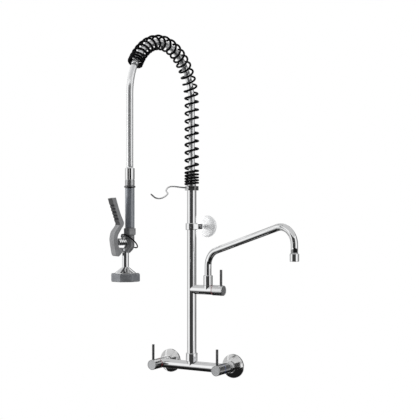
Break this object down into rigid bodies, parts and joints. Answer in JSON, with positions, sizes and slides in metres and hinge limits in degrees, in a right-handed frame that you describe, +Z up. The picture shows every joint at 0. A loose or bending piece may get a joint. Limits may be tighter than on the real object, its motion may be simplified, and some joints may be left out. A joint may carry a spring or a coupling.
{
  "type": "commercial wall faucet",
  "caption": "Wall-mounted pre-rinse faucet: lever valves on a bridge bar, a tall riser with a swing spout and its own valve, and a sprung arch that carries a hose with a trigger spray gun.",
  "frame": {"origin": "on the wall plane, midway between the hot and cold inlet axes and at their height", "axes": "+X to the right as seen from the front (towards the cold inlet), +Y into the wall, +Z up along the riser"},
  "size_m": [0.4934, 0.417, 0.9163],
  "materials": {
    "chrome_plate": "polished chrome plate over brass",
    "valve_brass": "machined",
    "satin_steel": "satin",
    "cast_alloy": "bead blasted grey casting",
    "black_wire": "black coated wire",
    "hose_sleeve": "smooth silver-white sleeve",
    "grip_plastic": "smooth, blue-grey",
    "bumper_rubber": "matt dark grey",
    "nylon": "moulded",
    "hot_red": "smooth red",
    "cold_blue": "smooth blue",
    "spout_dark_red": "smooth dark red"
  },
  "bodies": {
    "frame": {"bracket_clamp": "chrome_plate", "bracket_rod": "chrome_plate", "clamp_screw": "satin_steel", "cold_escutcheon": "chrome_plate", "cold_headwork": "valve_brass", "cold_indicator_ring": "cold_blue", "cold_inlet_connector": "chrome_plate", "cold_union_nut": "chrome_plate", "cold_valve_body": "chrome_plate", "hook": "chrome_plate", "hose_bend": "hose_sleeve", "hose_in_spring": "hose_sleeve", "hose_tail": "satin_steel", "hot_escutcheon": "chrome_plate", "hot_headwork": "valve_brass", "hot_indicator_ring": "hot_red", "hot_inlet_connector": "chrome_plate", "hot_union_nut": "chrome_plate", "hot_valve_body": "chrome_plate", "mixing_bar": "chrome_plate", "overhead_spring": "black_wire", "riser": "chrome_plate", "riser_nut": "chrome_plate", "riser_top_nut": "chrome_plate", "spout_branch": "chrome_plate", "spout_bushing": "nylon", "spout_headwork": "valve_brass", "spout_indicator_ring": "spout_dark_red", "spout_nut": "chrome_plate", "wall_flange": "chrome_plate"},
    "hot_handle": {"hot_spindle": "valve_brass", "hot_knob": "chrome_plate", "hot_lever_pin": "chrome_plate", "hot_grub_screw": "satin_steel"},
    "cold_handle": {"cold_spindle": "valve_brass", "cold_knob": "chrome_plate", "cold_lever_pin": "chrome_plate", "cold_grub_screw": "satin_steel"},
    "spout_handle": {"spout_spindle": "valve_brass", "spout_knob": "chrome_plate", "spout_lever_pin": "chrome_plate", "spout_grub_screw": "satin_steel"},
    "spout": {"spout_tube": "chrome_plate", "aerator_housing": "chrome_plate", "aerator_insert": "nylon"},
    "hanging_hose": {"hose_drop": "hose_sleeve", "gun_swivel_nut": "chrome_plate"},
    "gun": {"grip_ring": "chrome_plate", "grip": "grip_plastic", "gun_collar": "cast_alloy", "spray_valve_body": "cast_alloy", "bonnet": "chrome_plate", "trigger_pin": "satin_steel", "spray_cone": "chrome_plate", "bumper": "bumper_rubber", "spray_face": "satin_steel"},
    "trigger": {"trigger_lever": "cast_alloy"},
    "valve_plunger": {"plunger": "satin_steel"},
    "ring_latch": {"hold_ring": "black_wire"}
  },
  "joints": [
    {"name": "hot_handle_turn", "type": "hinge", "parent": "frame", "child": "hot_handle", "pos_m": [-0.1016, -0.085, 0], "axis": [0, -1, 0], "range_deg": [0, 90]},
    {"name": "cold_handle_turn", "type": "hinge", "parent": "frame", "child": "cold_handle", "pos_m": [0.1016, -0.085, 0], "axis": [0, 1, 0], "range_deg": [0, 90]},
    {"name": "spout_handle_turn", "type": "hinge", "parent": "frame", "child": "spout_handle", "pos_m": [0.085, -0.054, 0.21], "axis": [1, 0, 0], "range_deg": [0, 90]},
    {"name": "spout_swing", "type": "hinge", "parent": "frame", "child": "spout", "pos_m": [0.052, -0.054, 0.235], "axis": [0, 0, 1], "range_deg": [-70, 22]},
    {"name": "gun_swing", "type": "hinge", "parent": "frame", "child": "hanging_hose", "pos_m": [0, -0.35, 0.716], "axis": [-1, 0, 0], "range_deg": [-6, 25], "stiffness_Nm_per_rad": 1, "springref_deg": 2.29},
    {"name": "gun_turn", "type": "hinge", "parent": "hanging_hose", "child": "gun", "pos_m": [0, -0.35, 0.488], "axis": [0, 0, 1], "range_deg": [-180, 180]},
    {"name": "trigger_squeeze", "type": "hinge", "parent": "gun", "child": "trigger", "pos_m": [-0.01125, -0.36949, 0.3294], "axis": [-0.866, 0.5, 0], "range_deg": [0, 7], "stiffness_Nm_per_rad": 0.9, "springref_deg": -5.73},
    {"name": "plunger_slide", "type": "slide", "parent": "gun", "child": "valve_plunger", "axis": [0.5, 0.866, 0], "range_m": [0, 0.0027]},
    {"name": "hold_ring_tilt", "type": "hinge", "parent": "gun", "child": "ring_latch", "pos_m": [-0.0102, -0.36767, 0.3669], "axis": [0.866, -0.5, 0], "range_deg": [-10, 10]}
  ],
  "couplings": [
    {"joint": "plunger_slide", "follows": "trigger_squeeze", "m_per_rad": 0.0218}
  ]
}
